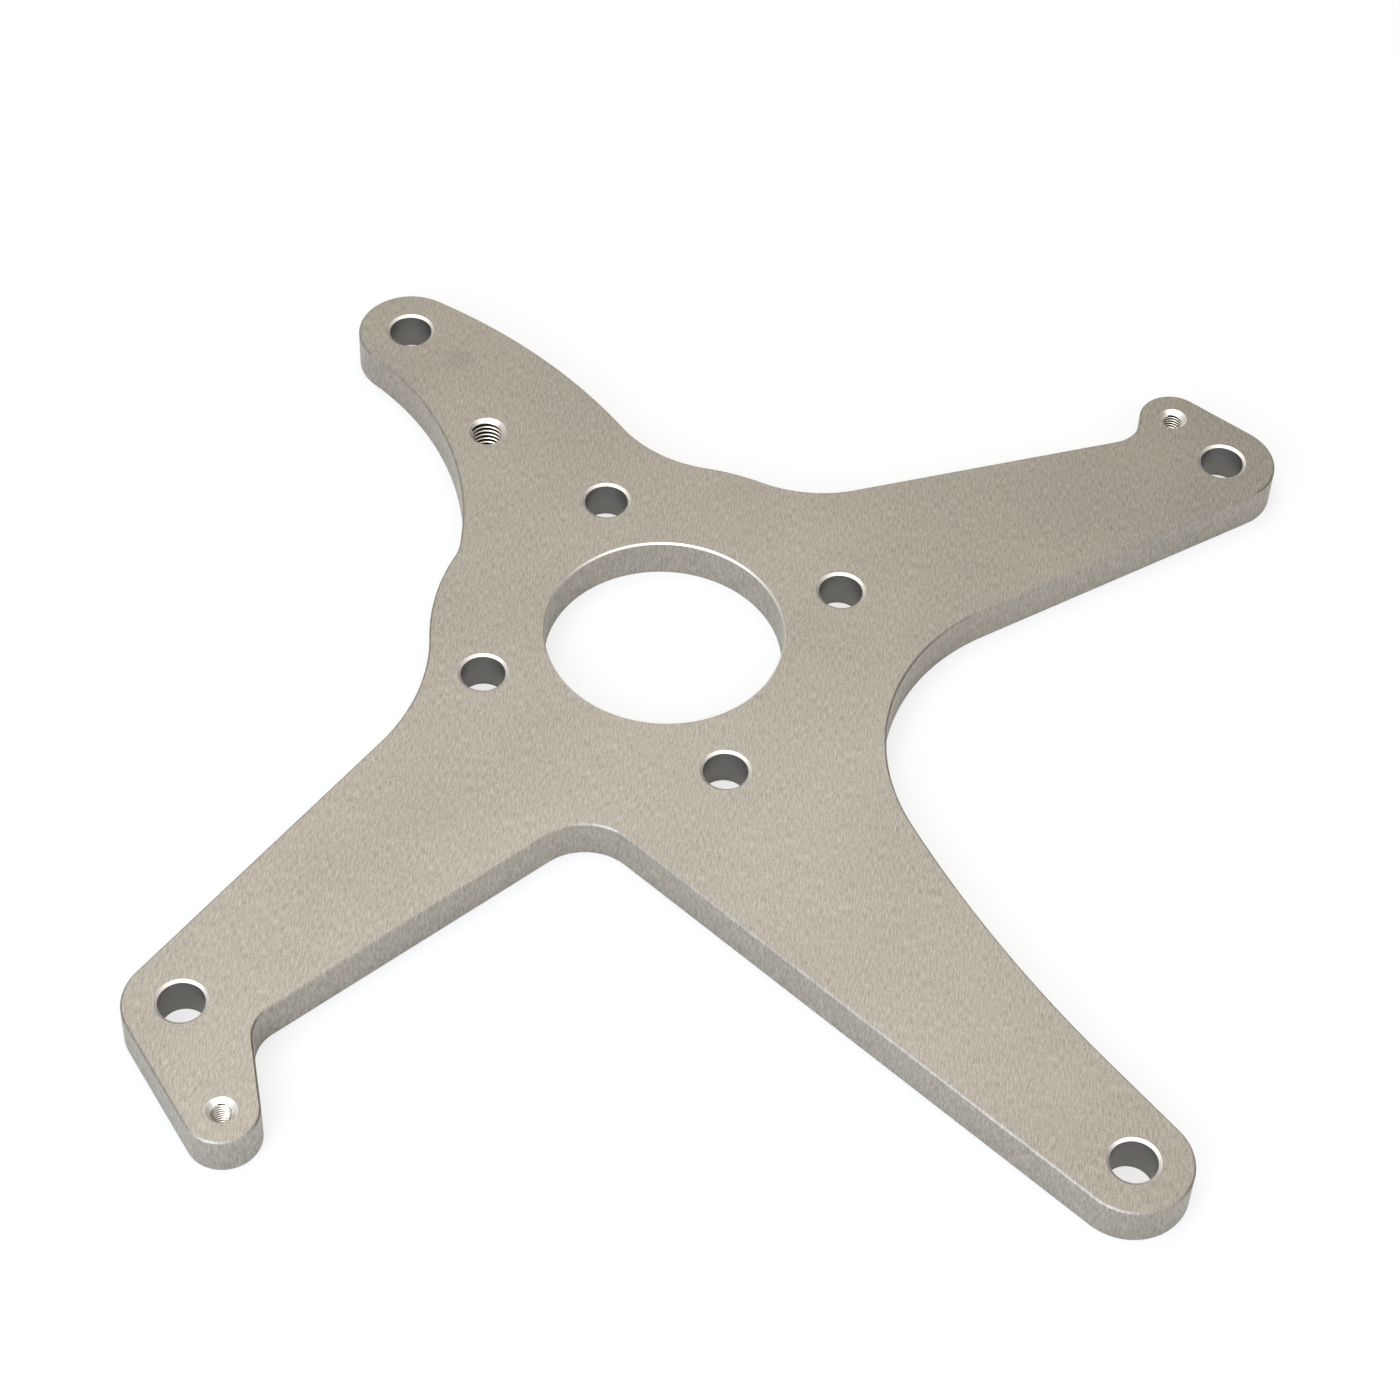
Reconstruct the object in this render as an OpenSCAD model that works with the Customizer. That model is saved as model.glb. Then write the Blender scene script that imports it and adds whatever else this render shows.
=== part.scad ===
// Motor mounting bracket: one flat aluminium plate, cut to shape with its holes in one setting.
// A round hub carries the motor's spigot bore and four motor bolts. Four arms run out from it
// to the frame's bolts, and two of them end in a lobe with a small tapped hole.
// Seen from above with +Y as north, the arms are called nw, ne, se and sw.
// The origin is on the motor's axis, on the underside of the plate.

/* [Plate] */
// Thickness of the plate
plate_t = 10; // [6:0.5:14]
// Width of the bevel along the whole outline, above and below
edge_bevel = 0.4; // [0.2:0.05:0.8]

/* [Motor mounting] */
// Diameter of the bore that the motor's spigot sits in
bore_d = 54; // [40:0.5:66]
// Width of the bevel at both mouths of the bore
bore_bevel = 0.4; // [0.2:0.05:0.8]
// Diameter of the circle that the motor bolts lie on
motor_pcd = 85; // [78:0.5:102]
// Number of motor bolts
motor_bolts = 4; // [3:1:6]
// Direction of the first motor bolt, counted from +X
motor_bolt_angle = 45; // [30:1:60]
// Diameter of each motor bolt hole
motor_hole_d = 10; // [6:0.5:12]
// Metal left outside each motor bolt hole, which sets the hub's radius
hub_wall = 5.3; // [3:0.1:8]

/* [Arm ends] */
// Diameter of the bolt hole at the end of each arm
arm_hole_d = 10; // [6:0.5:14]
// Metal left round the hole at the end of each arm
arm_wall = 7.5; // [4:0.5:10]
// Distance from the motor's axis to the nw arm's hole
nw_reach = 114.1; // [96:0.1:136.9]
// Direction of the nw arm's hole, counted from +X
nw_angle = 149.2; // [145:0.1:155]
// Distance from the motor's axis to the ne arm's hole
ne_reach = 144.2; // [120:0.1:173]
// Direction of the ne arm's hole
ne_angle = 50; // [45:0.1:55]
// Distance from the motor's axis to the se arm's hole
se_reach = 168.7; // [140.5:0.1:202.5]
// Direction of the se arm's hole
se_angle = -29.45; // [-35:0.05:-25]
// Distance from the motor's axis to the sw arm's hole
sw_reach = 144; // [120:0.1:173]
// Direction of the sw arm's hole
sw_angle = 253.1; // [250:0.1:258]
// Width of the bevel at the mouths of all plain bolt holes
hole_bevel_w = 0.7; // [0.3:0.1:1.2]
// Depth of the bevel at the mouths of all plain bolt holes
hole_bevel_h = 0.4; // [0.2:0.1:1.2]

/* [Tapped holes] */
// Drilled diameter of the large tapped hole, in the nw arm
large_tap_d = 6.8; // [5:0.1:8.5]
// Diameter of its countersink at both faces
large_sink_d = 8.8; // [8.6:0.1:12]
// Distance from the motor's axis to the large tapped hole
large_tap_reach = 75; // [72:0.5:90]
// Direction of the large tapped hole
large_tap_angle = 150.5; // [149:0.1:153]
// Drilled diameter of the two small tapped holes
small_tap_d = 4.2; // [3.3:0.1:5]
// Diameter of their countersinks at both faces
small_sink_d = 6.5; // [5.2:0.1:8]
// Metal left round the countersink of a small tapped hole, which sets the lobe's radius
lobe_wall = 4.7; // [3:0.1:7]
// Distance from the ne arm's hole to the small tapped hole beside it
ne_lobe_reach = 17.5; // [14.6:0.1:21]
// Direction from the ne arm's hole to its small tapped hole
ne_lobe_angle = 153; // [148:0.5:158]
// Distance from the sw arm's hole to the small tapped hole beside it
sw_lobe_reach = 28.5; // [23.7:0.1:34.2]
// Direction from the sw arm's hole to its small tapped hole
sw_lobe_angle = -42.2; // [-47:0.1:-37]

/* [Necks behind the lobes] */
// Radius of the fillet between a lobe and its arm's edge
neck_r = 8.4; // [5:0.1:10.1]
// Direction from the ne lobe's hole to its neck fillet's centre
ne_neck_angle = 205.8; // [203:0.1:208]
// Direction from the sw lobe's hole to its neck fillet's centre
sw_neck_angle = 81.6; // [78:0.1:85]
// Length of the straight flank between the sw lobe and its neck
sw_flank = 16.3; // [10:0.1:20]

/* [Bays between the arms] */
// Radius of the hollow at the root of the ne arm's north edge
north_root_r = 31.2; // [26:0.1:37.5]
// Direction from the motor's axis to that hollow's centre
north_root_angle = 91; // [88:0.1:94]
// Radius of the hollow between the hub and the nw arm's back
back_root_r = 30.9; // [25.7:0.1:37.1]
// Radius of the long crowned back of the nw arm
back_r = 137.8; // [114.8:0.1:165.4]
// Direction from the nw hole to the point where the back meets the arm's end
back_angle = 86.7; // [84:0.1:89]
// Radius of the long hollow along the nw arm's west side
west_hollow_r = 74.1; // [61.7:0.1:89]
// Overlap between that hollow's circle and the hub's, before the small fillet eases it
west_overlap = 1.8; // [0.5:0.1:5]
// Radius of the small fillet between the west hollow and the hub
west_fillet_r = 11.6; // [9.6:0.1:14]
// Radius of the hollow between the hub and the sw arm
west_root_r = 47.7; // [39.7:0.1:57.3]
// Direction from the motor's axis to that hollow's centre
west_root_angle = 209.7; // [206:0.1:213]
// Radius of the crotch between the sw and se arms
south_crotch_r = 12.4; // [9:0.1:15]
// Direction from the motor's axis to the south crotch
south_crotch_angle = 282.9; // [279:0.1:287]
// Metal left outside the hub's circle at the south crotch
south_web = 5.4; // [2:0.1:8]
// Radius of the crotch between the se and ne arms
east_crotch_r = 48.6; // [40.5:0.1:58.4]
// Direction from the motor's axis to the east crotch
east_crotch_angle = 7.6; // [4:0.1:11]
// Metal left outside the hub's circle at the east crotch
east_web = 1.7; // [0.5:0.1:4]
// Radius of the shallow hollow along the se arm's north edge
se_hollow_r = 320; // [266.6:1:384]
// Length of the straight edge between that hollow and the arm's end
se_straight = 21; // [10:0.5:30]

/* [Hidden] */
$fa = 2;
$fs = 0.5;

// Arcs are this much larger than the tangent lines ask, so that each crosses its neighbour cleanly
grip = 0.002;
// How far cutters reach past the faces they cut
spare = 0.5;
// Depth of the band that holds an arc's stretch, and how far past a joint it runs, in degrees
band_depth = 10;
overrun = 3;
// Arcs that come as near to each other as this are taken to touch, with no straight edge between
touching = 0.05;
// Warm grey of the blasted metal
plate_colour = [0.69, 0.66, 0.6];

hub_r = motor_pcd / 2 + motor_hole_d / 2 + hub_wall;
arm_r = arm_hole_d / 2 + arm_wall;
lobe_r = small_sink_d / 2 + lobe_wall;
motor_axis = [0, 0];

// Point at a distance from another, in a direction
function beyond(from, angle, distance) = from + distance * [cos(angle), sin(angle)];

// Direction from one point to another
function bearing(from, to) = atan2(to.y - from.y, to.x - from.x);

// Point at given distances from two others, on the left going from the first to the second
function meeting(a, from_a, b, from_b) =
    let (gap = norm(b - a), c = (gap * gap + from_a * from_a - from_b * from_b) / (2 * gap * from_a))
    beyond(a, bearing(a, b) + acos(c), from_a);

nw = beyond(motor_axis, nw_angle, nw_reach);
ne = beyond(motor_axis, ne_angle, ne_reach);
se = beyond(motor_axis, se_angle, se_reach);
sw = beyond(motor_axis, sw_angle, sw_reach);
arm_holes = [nw, ne, se, sw];
large_tap = beyond(motor_axis, large_tap_angle, large_tap_reach);
ne_lobe = beyond(ne, ne_lobe_angle, ne_lobe_reach);
sw_lobe = beyond(sw, sw_lobe_angle, sw_lobe_reach);

// The fillet behind each lobe touches the lobe, or leaves it by a straight flank
neck_reach = lobe_r + neck_r;
ne_neck = beyond(ne_lobe, ne_neck_angle, neck_reach);
sw_neck = beyond(sw_lobe, sw_neck_angle, norm([neck_reach, sw_flank]));

// Arcs that touch two others are placed by their distances from both
west_hollow = meeting(motor_axis, hub_r + west_hollow_r - west_overlap, nw, arm_r + west_hollow_r);
west_fillet = meeting(west_hollow, west_hollow_r - west_fillet_r, motor_axis, hub_r + west_fillet_r);
back = beyond(nw, back_angle + 180, back_r - arm_r);
back_root = meeting(back, back_r + back_root_r, motor_axis, hub_r + back_root_r);
west_root = beyond(motor_axis, west_root_angle, hub_r + west_root_r);
north_root = beyond(motor_axis, north_root_angle, hub_r + north_root_r);
south_crotch = beyond(motor_axis, south_crotch_angle, hub_r + south_web + south_crotch_r);
east_crotch = beyond(motor_axis, east_crotch_angle, hub_r + east_web + east_crotch_r);
se_hollow = meeting(east_crotch, se_hollow_r - east_crotch_r, se, norm([arm_r + se_hollow_r, se_straight]));

// The outline as a chain of arcs, anticlockwise: [centre, radius], and a hollow's radius is negative.
// Where two neighbours don't touch, a straight edge joins them, tangent to both.
chain = [
    [nw, arm_r],
    [west_hollow, -west_hollow_r],
    [west_fillet, -west_fillet_r],
    [motor_axis, hub_r],
    [west_root, -west_root_r],
    [sw, arm_r],
    [sw_lobe, lobe_r],
    [sw_neck, -neck_r],
    [south_crotch, -south_crotch_r],
    [se, arm_r],
    [se_hollow, -se_hollow_r],
    [east_crotch, -east_crotch_r],
    [ne, arm_r],
    [ne_lobe, lobe_r],
    [ne_neck, -neck_r],
    [north_root, -north_root_r],
    [motor_axis, hub_r],
    [back_root, -back_root_r],
    [back, back_r]
];
arcs = [for (i = [0 : len(chain) - 1]) i];

function next(i) = (i + 1) % len(chain);
function previous(i) = (i + len(chain) - 1) % len(chain);
function centre(i) = chain[i][0];
function radius(i) = chain[i][1];

// Direction of the outward normal on the edge that joins an arc to the next one
function normal(i) =
    let (
        away = centre(next(i)) - centre(i),
        lean = (radius(i) - radius(next(i))) / norm(away)
    )
    atan2(away.y, away.x) - acos(max(-1, min(1, lean)));

// Where the outline comes to an arc, and where it leaves it
function arrival(i) = beyond(centre(i), normal(previous(i)), radius(i));
function departure(i) = beyond(centre(i), normal(i), radius(i));

// Length of the straight edge after an arc. Arcs that touch have none
function straight(i) = norm(arrival(next(i)) - departure(i));
function touches_next(i) = straight(i) < touching;

// How sharply an arc bends, and how sharply the edge goes on before and after it
function bend(i) = 1 / radius(i);
function bend_before(i) = touches_next(previous(i)) ? bend(previous(i)) : 0;
function bend_after(i) = touches_next(i) ? bend(next(i)) : 0;

// Direction from an arc's centre to its end that lies clockwise of the other, and the angle between
function first_ray(i) = radius(i) > 0 ? normal(previous(i)) : normal(i) + 180;
function turn(i) =
    let (change = (normal(i) - normal(previous(i))) * sign(radius(i)))
    change - 360 * floor(change / 360);

// First and last ray of an arc, moved on past the ends that are asked for
function rays(i, on_before, on_after, angle) =
    let (on = radius(i) > 0 ? [on_before, on_after] : [on_after, on_before])
    [first_ray(i) - (on[0] ? angle : 0), first_ray(i) + turn(i) + (on[1] ? angle : 0)];

// Does a tighter arc that bends the same way touch this one? There it has to stop at the joint
function stops_before(i) = bend_before(i) * radius(i) > 1;
function stops_after(i) = bend_after(i) * radius(i) > 1;

// Radius that is drawn. The tighter of two such arcs takes a double grip
function tight(i) = stops_after(previous(i)) || stops_before(next(i));
function drawn_r(i) = abs(radius(i)) + grip * (tight(i) ? 2 : 1);

// A band over one stretch of an arc, from well inside its chord to outside its crown
module stretch_of(i) {
    ends = rays(i, !stops_before(i), !stops_after(i), overrun);
    middle = (ends[0] + ends[1]) / 2;
    crown = (drawn_r(i) + spare) / cos((ends[1] - ends[0]) / 4);
    root = drawn_r(i) - band_depth;
    polygon([
        beyond(centre(i), ends[0], root),
        beyond(centre(i), ends[0], crown),
        beyond(centre(i), middle, crown),
        beyond(centre(i), ends[1], crown),
        beyond(centre(i), ends[1], root)
    ]);
}

// The disc of an arc, or just a stretch of it where the rest would reach into a neighbour
module disc(i) {
    if (stops_before(i) || stops_after(i)) {
        intersection() {
            translate(centre(i)) circle(drawn_r(i));
            stretch_of(i);
        }
    } else {
        translate(centre(i)) circle(drawn_r(i));
    }
}

// Straight-sided web through every joint of the outline
module web() {
    polygon([
        for (i = arcs) each touches_next(i) ? [arrival(i)] : [arrival(i), departure(i)]
    ]);
}

module outline() {
    difference() {
        union() {
            web();
            for (i = arcs) if (radius(i) > 0) disc(i);
        }
        for (i = arcs) if (radius(i) < 0) disc(i);
    }
}

// Both bevels' sections: x runs outward from the wall, at wall_x, and y up through the plate
module bevel_section(wall_x, outward) {
    near = wall_x - outward * (edge_bevel + spare);
    far = wall_x + outward * spare;
    polygon([[near, plate_t + spare], [far, plate_t + spare], [far, plate_t - edge_bevel - spare]]);
    polygon([[near, -spare], [far, -spare], [far, edge_bevel + spare]]);
}

// Bevel round one arc. At each joint the edge that bends less, or more inward, runs on past it,
// by twice the length over which the grip lets two touching arcs overlap
module arc_bevel(i) {
    overlap = 2 * sqrt(grip * drawn_r(i));
    run_on = 2 * overlap / drawn_r(i) * 180 / PI;
    ends = rays(i, bend(i) < bend_before(i), bend(i) < bend_after(i), run_on);
    translate(centre(i))
        rotate([0, 0, ends[0]])
            rotate_extrude(angle = ends[1] - ends[0])
                bevel_section(drawn_r(i), sign(radius(i)));
}

// Bevel along the straight edge after one arc, run on past its ends where they meet a crown
module straight_bevel(i) {
    before = radius(i) > 0 ? spare : 0;
    after = radius(next(i)) > 0 ? spare : 0;
    translate(beyond(arrival(next(i)), normal(i) + 90, after))
        rotate([90, 0, normal(i)])
            linear_extrude(straight(i) + before + after)
                bevel_section(0, 1);
}

// Round hole right through the plate, with a bevel at both mouths
module through_hole(at, hole_r, bevel_w, bevel_h) {
    mouth_r = hole_r + bevel_w + spare * bevel_w / bevel_h;
    translate(at)
        rotate_extrude()
            polygon([
                [0, -spare],
                [mouth_r, -spare],
                [hole_r, bevel_h],
                [hole_r, plate_t - bevel_h],
                [mouth_r, plate_t + spare],
                [0, plate_t + spare]
            ]);
}

// Tapped hole: the tap drill's bore with a right-angled countersink at both mouths
module tapped_hole(at, tap_d, sink_d) {
    sink = (sink_d - tap_d) / 2;
    through_hole(at, tap_d / 2, sink, sink);
}

// The plate before its holes. Its straight edges are bevelled first and its arcs after them,
// so that each step meets only the walls that it is meant to cut
module blank() {
    difference() {
        difference() {
            linear_extrude(plate_t) outline();
            for (i = arcs) if (!touches_next(i)) straight_bevel(i);
        }
        for (i = arcs) arc_bevel(i);
    }
}

module bracket() {
    color(plate_colour)
        difference() {
            blank();
            through_hole(motor_axis, bore_d / 2, bore_bevel, bore_bevel);
            for (k = [0 : motor_bolts - 1])
                through_hole(
                    beyond(motor_axis, motor_bolt_angle + k * 360 / motor_bolts, motor_pcd / 2),
                    motor_hole_d / 2, hole_bevel_w, hole_bevel_h
                );
            for (hole = arm_holes)
                through_hole(hole, arm_hole_d / 2, hole_bevel_w, hole_bevel_h);
            tapped_hole(large_tap, large_tap_d, large_sink_d);
            tapped_hole(ne_lobe, small_tap_d, small_sink_d);
            tapped_hole(sw_lobe, small_tap_d, small_sink_d);
        }
}

bracket();
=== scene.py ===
"""Looks of a flat four-armed motor mounting bracket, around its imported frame.

The bracket is one aluminium plate. Its mesh is made afresh here from the same sizes as the solid, with
softened edges and with real helical threads in the three tapped holes.
"""

import logging
import math
from dataclasses import dataclass, field
from enum import Enum

import bpy
import numpy as np
from mathutils import Matrix, Vector
from mathutils.geometry import delaunay_2d_cdt


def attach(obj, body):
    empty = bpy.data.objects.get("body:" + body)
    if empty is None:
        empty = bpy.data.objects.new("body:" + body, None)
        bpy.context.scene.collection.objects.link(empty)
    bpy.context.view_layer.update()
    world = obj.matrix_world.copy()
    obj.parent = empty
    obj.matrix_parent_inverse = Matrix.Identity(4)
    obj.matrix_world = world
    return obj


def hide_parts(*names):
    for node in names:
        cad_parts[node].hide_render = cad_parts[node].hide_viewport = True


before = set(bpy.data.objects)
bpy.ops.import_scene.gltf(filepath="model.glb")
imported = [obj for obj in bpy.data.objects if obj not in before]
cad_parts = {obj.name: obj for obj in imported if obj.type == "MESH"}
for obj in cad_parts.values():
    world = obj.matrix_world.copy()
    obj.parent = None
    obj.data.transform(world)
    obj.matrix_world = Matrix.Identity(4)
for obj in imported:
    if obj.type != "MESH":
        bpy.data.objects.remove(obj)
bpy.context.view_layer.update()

log = logging.getLogger("bracket")

# A millimetre in metres
MM = 0.001
# The photograph's width and height, and the width of the camera's sensor in millimetres
PHOTO_PIXELS = 1400
SENSOR_WIDTH = 36.0
# The setting of the triangulation that keeps only what lies between the loops
TRIANGLES_INSIDE = 1
# Points nearer than this are one in the triangulation, in millimetres
WELD = 1e-7
# Points of the outline nearer than this are one, in millimetres
SAME_POINT = 0.02
# How far off a section's first and last corners stand, which only give directions, in millimetres
LEAD = 1
# Stretches in the rounding of an edge, and in that of a thread's corner
EDGE_STEPS = 3
CREST_STEPS = 1
# A turn of a thread has four corners, so this many points
TURN_POINTS = 4 * (CREST_STEPS + 1)


def direction(degrees: float) -> np.ndarray:
    """Gives the unit vector in the plate's plane at an angle counted from +X.

    Args:
        degrees: The angle, anticlockwise seen from above.

    Returns:
        The vector's x and y.
    """
    return np.array([math.cos(math.radians(degrees)), math.sin(math.radians(degrees))])


def bearing(start: np.ndarray, end: np.ndarray) -> float:
    """Gives the angle of the way from one point to another.

    Args:
        start: The first point.
        end: The second point.

    Returns:
        The angle in degrees, counted from +X.
    """
    away = end - start
    return math.degrees(math.atan2(away[1], away[0]))


def meeting(a: np.ndarray, from_a: float, b: np.ndarray, from_b: float) -> np.ndarray:
    """Finds the point at given distances from two others.

    Args:
        a: The first point.
        from_a: The distance from it.
        b: The second point.
        from_b: The distance from that.

    Returns:
        The point on the left of the way from a to b.
    """
    gap = float(np.linalg.norm(b - a))
    lean = math.degrees(math.acos((gap * gap + from_a * from_a - from_b * from_b) / (2 * gap * from_a)))
    return a + from_a * direction(bearing(a, b) + lean)


@dataclass(frozen=True)
class SectionPoint:
    """One point of a softened section: its place, its height and the way its surface faces."""

    reach: float
    height: float
    face_reach: float
    face_height: float


def soften(corners: list[tuple[float, float]], radius: float, steps: int, side: int) -> list[SectionPoint]:
    """Rounds the corners of a section.

    Args:
        corners: The section's corners as reach and height. The first and the last only give directions.
        radius: The rounding's radius, in millimetres.
        steps: How many stretches each rounding is drawn with.
        side: 1 where the metal lies on the right of the way along the corners, and -1 on the left.

    Returns:
        The points of the roundings, in order.
    """
    points: list[SectionPoint] = []
    for before, corner, after in zip(corners[:-2], corners[1:-1], corners[2:]):
        way_in = np.subtract(corner, before) / np.linalg.norm(np.subtract(corner, before))
        way_out = np.subtract(after, corner) / np.linalg.norm(np.subtract(after, corner))
        swing = math.atan2(way_in[0] * way_out[1] - way_in[1] * way_out[0], float(way_in @ way_out))
        cut = radius * math.tan(abs(swing) / 2)
        start = np.array(corner) - cut * way_in
        left = np.array([-way_in[1], way_in[0]])
        centre = start + math.copysign(radius, swing) * left
        for step in range(steps + 1):
            turned = swing * step / steps
            c, s = math.cos(turned), math.sin(turned)
            spoke = start - centre
            place = centre + np.array([c * spoke[0] - s * spoke[1], s * spoke[0] + c * spoke[1]])
            facing = side * np.array([c * left[0] - s * left[1], s * left[0] + c * left[1]])
            points.append(SectionPoint(float(place[0]), float(place[1]), float(facing[0]), float(facing[1])))
    return points


def add_object(name: str, data: bpy.types.ID) -> bpy.types.Object:
    """Puts a new object into the scene.

    Args:
        name: The object's name.
        data: Its mesh, lamp or lens.

    Returns:
        The object.
    """
    added = bpy.data.objects.new(name, data)
    bpy.context.scene.collection.objects.link(added)
    return added


class Finish(Enum):
    """How a surface of the plate was left, or the painted shade in a thread, which is also its place among
    the mesh's materials.
    """

    BLASTED = 0
    CUT = 1
    DRILLED = 2
    TAPPED = 3
    # Painted shade: a near-black colour on the parts of a thread that lie in shade
    PAINTED_SHADE = 4


class Thread(Enum):
    """Metric coarse threads in the plate: nominal diameter, pitch, tap drill and countersink."""

    M8 = (8.0, 1.25, 6.8, 8.8)
    M5 = (5.0, 0.8, 4.2, 6.5)


@dataclass
class Skin:
    """The plate's surface while it is put together, in millimetres."""

    points: list[np.ndarray] = field(default_factory=list)
    facings: list[np.ndarray] = field(default_factory=list)
    faces: list[tuple[int, ...]] = field(default_factory=list)
    finishes: list[int] = field(default_factory=list)
    count: int = 0

    def add_points(self, points: np.ndarray, facings: np.ndarray) -> np.ndarray:
        """Adds points to the skin.

        Args:
            points: Their places, any shape that ends in 3.
            facings: The way the surface faces at each.

        Returns:
            Their numbers in the skin, in the same shape less the last side.
        """
        shape = points.shape[:-1]
        size = int(np.prod(shape))
        self.points.append(points.reshape(-1, 3))
        self.facings.append(facings.reshape(-1, 3))
        numbers = np.arange(self.count, self.count + size).reshape(shape)
        self.count += size
        return numbers

    def sweep(self, base: np.ndarray, outward: np.ndarray, section: list[SectionPoint]) -> np.ndarray:
        """Adds the points of a section that runs round a loop.

        Args:
            base: The loop's points, or the one point in its middle.
            outward: The unit vector along which reach is counted, for each point of the loop.
            section: The section's points.

        Returns:
            The points' numbers, one row for each point of the section.
        """
        rows = []
        for point in section:
            places = np.c_[base + point.reach * outward, np.full(len(outward), point.height)]
            facings = np.c_[point.face_reach * outward, np.full(len(outward), point.face_height)]
            rows.append(self.add_points(places, facings))
        return np.array(rows)

    def add_face(self, corners: list[int], finish: Finish) -> None:
        """Adds a face, leaving out corners that repeat.

        Args:
            corners: The numbers of its corners, anticlockwise seen from outside.
            finish: How that surface was left.
        """
        kept = [c for k, c in enumerate(corners) if c != corners[k - 1]]
        if len(set(kept)) > 2:
            self.faces.append(tuple(int(c) for c in kept))
            self.finishes.append(finish.value)

    def add_band(self, rows: np.ndarray, finishes: list[Finish], inward: bool) -> None:
        """Closes a band round a loop between rows of points that run from the top down.

        Args:
            rows: The points' numbers, one row for each height.
            finishes: How the surface between each row and the next was left.
            inward: Whether the band faces the loop's inside, as a hole's wall does.
        """
        for upper, lower, finish in zip(rows[:-1], rows[1:], finishes):
            for k in range(len(upper)):
                n = (k + 1) % len(upper)
                corners = [upper[k], lower[k], lower[n], upper[n]]
                self.add_face(corners[::-1] if inward else corners, finish)

    def make_object(self, name: str, materials: list[bpy.types.Material]) -> bpy.types.Object:
        """Turns the skin into a Blender object.

        Args:
            name: The object's name.
            materials: One for each finish, in the order of their numbers.

        Returns:
            The object, in metres.
        """
        mesh = bpy.data.meshes.new(name)
        mesh.from_pydata((np.concatenate(self.points) * MM).tolist(), [], self.faces)
        mesh.polygons.foreach_set("material_index", self.finishes)
        mesh.polygons.foreach_set("use_smooth", [True] * len(self.faces))
        for material in materials:
            mesh.materials.append(material)
        mesh.normals_split_custom_set_from_vertices(np.concatenate(self.facings).tolist())
        mesh.update()
        return add_object(name, mesh)


@dataclass(frozen=True)
class Arc:
    """One arc of the outline. A hollow's radius is negative."""

    centre: np.ndarray
    radius: float


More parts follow.
